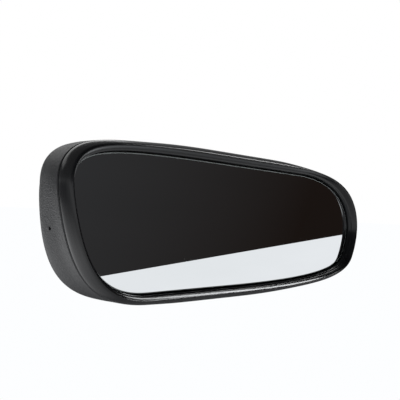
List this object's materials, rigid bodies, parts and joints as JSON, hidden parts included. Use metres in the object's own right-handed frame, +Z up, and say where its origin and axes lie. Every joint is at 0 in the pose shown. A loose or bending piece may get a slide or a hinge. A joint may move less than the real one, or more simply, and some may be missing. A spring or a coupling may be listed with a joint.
{
  "type": "interior rearview mirror",
  "caption": "Interior rearview mirror: wide flat mirror in a grained black casing that swivels on a ball stud, with a foot that slides onto a button bonded to the windscreen.",
  "frame": {"origin": "centre of the bonding face on the windscreen side of the adhesive pad", "axes": "+Z up, mirror glass facing -Y towards the driver, +X to the right as the driver sees the glass"},
  "size_m": [0.2528, 0.0901, 0.0876],
  "materials": {
    "shell_vinyl": "fine moulded grain, satin",
    "bezel_vinyl": "fine moulded grain, satin",
    "mirror_glass": "flat silvered glass with a ground edge",
    "foam": "closed-cell foam tape",
    "dark_nylon": "glass-filled nylon",
    "black_coat": "black e-coat, satin",
    "pale_nylon": "natural acetal",
    "spring_steel": "oiled spring steel",
    "zinc_plate": "bright zinc plate",
    "polished_chrome": "polished",
    "bond_film": "bonding film"
  },
  "bodies": {
    "foot": {"foot_bracket": "black_coat", "windscreen_button": "zinc_plate", "adhesive_pad": "bond_film", "set_screw": "spring_steel", "ball_stud": "polished_chrome", "jam_nut": "zinc_plate", "lock_washer": "zinc_plate"},
    "yaw_liner": {"ball_liner_rear": "pale_nylon"},
    "pitch_liner": {"ball_liner_front": "pale_nylon"},
    "head": {"rear_shell": "shell_vinyl", "bezel": "bezel_vinyl", "mirror_glass": "mirror_glass", "foam_pad": "foam", "glass_carrier": "dark_nylon", "socket_base": "dark_nylon", "socket_retainer": "black_coat", "disc_spring": "spring_steel", "carrier_screw_1": "zinc_plate", "carrier_screw_2": "zinc_plate", "carrier_screw_3": "zinc_plate", "carrier_screw_4": "zinc_plate", "socket_screw_1": "zinc_plate", "socket_screw_2": "zinc_plate", "socket_screw_3": "zinc_plate"}
  },
  "joints": [
    {"name": "head_turn", "type": "hinge", "parent": "foot", "child": "yaw_liner", "pos_m": [0, -0.05, -0.024], "axis": [0, 0, 1], "range_deg": [-20, 20]},
    {"name": "head_tip", "type": "hinge", "parent": "yaw_liner", "child": "pitch_liner", "pos_m": [0, -0.05, -0.024], "axis": [1, 0, 0], "range_deg": [-15, 15]},
    {"name": "head_roll", "type": "hinge", "parent": "pitch_liner", "child": "head", "pos_m": [0, -0.05, -0.024], "axis": [0, 1, 0], "range_deg": [-10, 10]}
  ]
}
